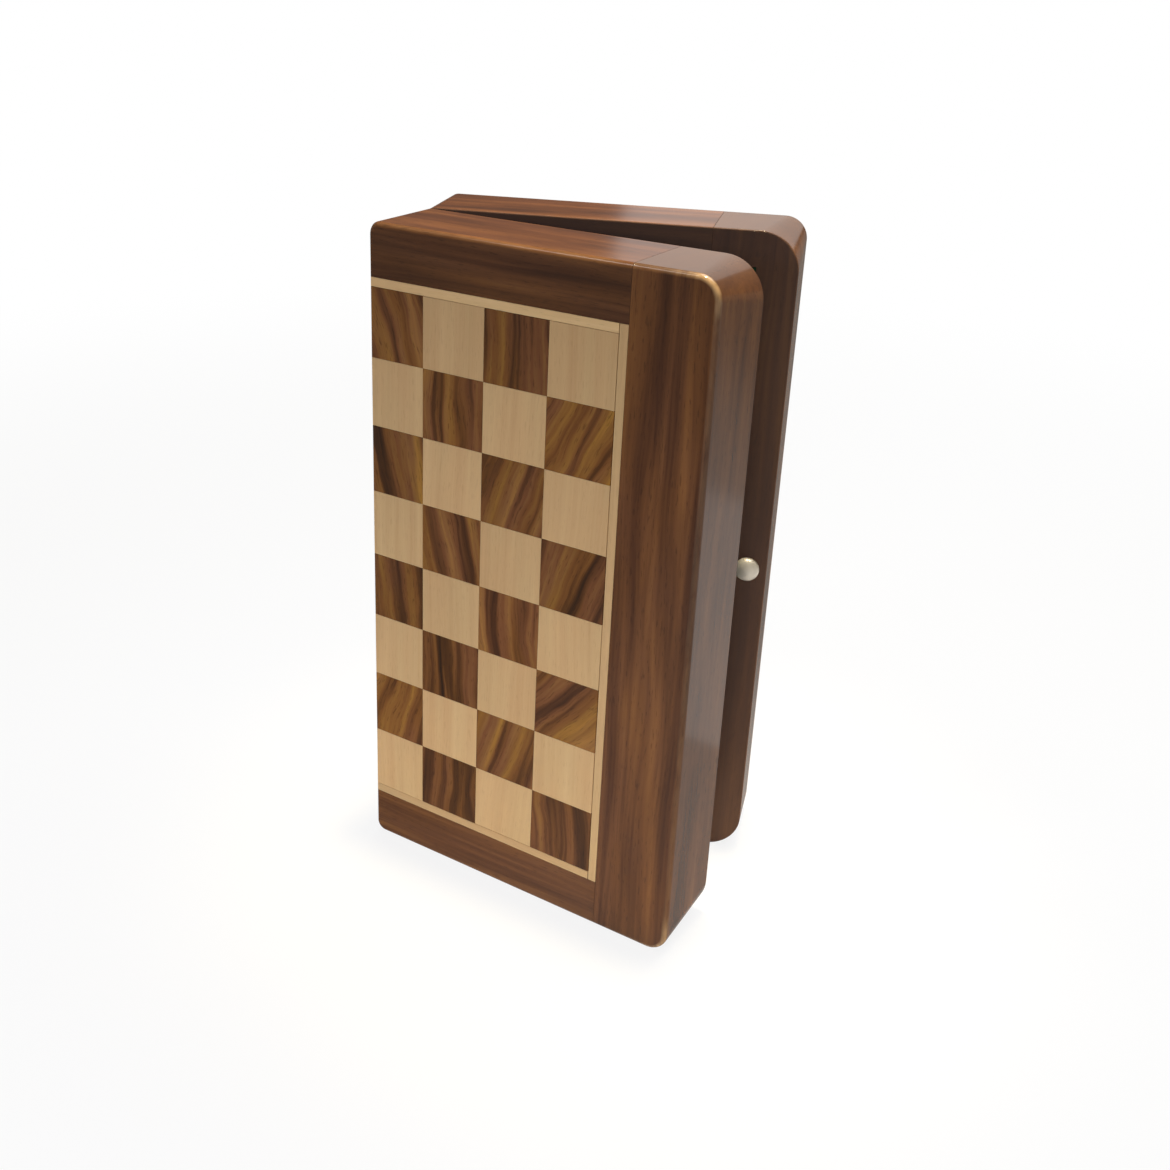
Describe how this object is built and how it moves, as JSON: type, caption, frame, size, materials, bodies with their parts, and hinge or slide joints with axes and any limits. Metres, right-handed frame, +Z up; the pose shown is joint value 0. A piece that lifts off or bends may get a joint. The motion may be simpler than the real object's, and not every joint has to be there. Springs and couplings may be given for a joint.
{
  "type": "magnetic folding chess set",
  "caption": "Folding wooden chess box standing ajar: board on the outside, hinged along one long side, magnetic chessmen lying in trays inside.",
  "frame": {"origin": "centre of the footprint of the set as it stands ajar on its end, on the surface it stands on", "axes": "+Z up, along the fold and the hinge pins; -Y out of the playing face of the front half; +X from the fold to the side that opens"},
  "size_m": [0.1022, 0.0752, 0.1778],
  "materials": {
    "rosewood": "dark brown rosewood, straight grain, clear gloss lacquer",
    "dark_square_wood": "streaked rosewood, grain across the square, clear gloss lacquer",
    "maple": "pale tan maple, fine straight grain, clear gloss lacquer",
    "boxwood": "turned boxwood, polished and lacquered",
    "plywood": "bare thin plywood",
    "sheet_steel": "plain rolled sheet steel",
    "felt": "green flocked felt over foam",
    "brass": "drawn and stamped brass, polished",
    "nickel": "bright nickel plate"
  },
  "bodies": {
    "front_half": {"front_bottom_rail": "rosewood", "front_top_rail": "rosewood", "front_stile": "rosewood", "front_fold_wall": "rosewood", "front_backing_panel": "plywood", "front_steel_sheet": "sheet_steel", "front_light_squares": "maple", "front_dark_squares": "dark_square_wood", "front_inlay_line": "maple", "front_piece_tray": "felt", "lower_hinge_front_leaf": "brass", "lower_hinge_pin": "brass", "upper_hinge_front_leaf": "brass", "upper_hinge_pin": "brass", "catch_cup": "nickel", "dark_rook_1": "rosewood", "dark_knight_1": "rosewood", "dark_bishop_1": "rosewood", "dark_queen": "rosewood", "dark_king": "rosewood", "dark_bishop_2": "rosewood", "dark_knight_2": "rosewood", "dark_rook_2": "rosewood", "dark_pawn_1": "rosewood", "dark_pawn_2": "rosewood", "dark_pawn_3": "rosewood", "dark_pawn_4": "rosewood", "dark_pawn_5": "rosewood", "dark_pawn_6": "rosewood", "dark_pawn_7": "rosewood", "dark_pawn_8": "rosewood"},
    "rear_half": {"rear_bottom_rail": "rosewood", "rear_top_rail": "rosewood", "rear_stile": "rosewood", "rear_fold_wall": "rosewood", "rear_backing_panel": "plywood", "rear_steel_sheet": "sheet_steel", "rear_light_squares": "maple", "rear_dark_squares": "dark_square_wood", "rear_inlay_line": "maple", "rear_piece_tray": "felt", "lower_hinge_rear_leaf": "brass", "upper_hinge_rear_leaf": "brass", "catch_stud": "nickel", "light_rook_1": "boxwood", "light_knight_1": "boxwood", "light_bishop_1": "boxwood", "light_queen": "boxwood", "light_king": "boxwood", "light_bishop_2": "boxwood", "light_knight_2": "boxwood", "light_rook_2": "boxwood", "light_pawn_1": "boxwood", "light_pawn_2": "boxwood", "light_pawn_3": "boxwood", "light_pawn_4": "boxwood", "light_pawn_5": "boxwood", "light_pawn_6": "boxwood", "light_pawn_7": "boxwood", "light_pawn_8": "boxwood"}
  },
  "joints": [
    {"name": "fold", "type": "hinge", "parent": "front_half", "child": "rear_half", "pos_m": [-0.04405, -0.01468, 0.0889], "axis": [0, 0, 1], "range_deg": [-19, 161]}
  ]
}
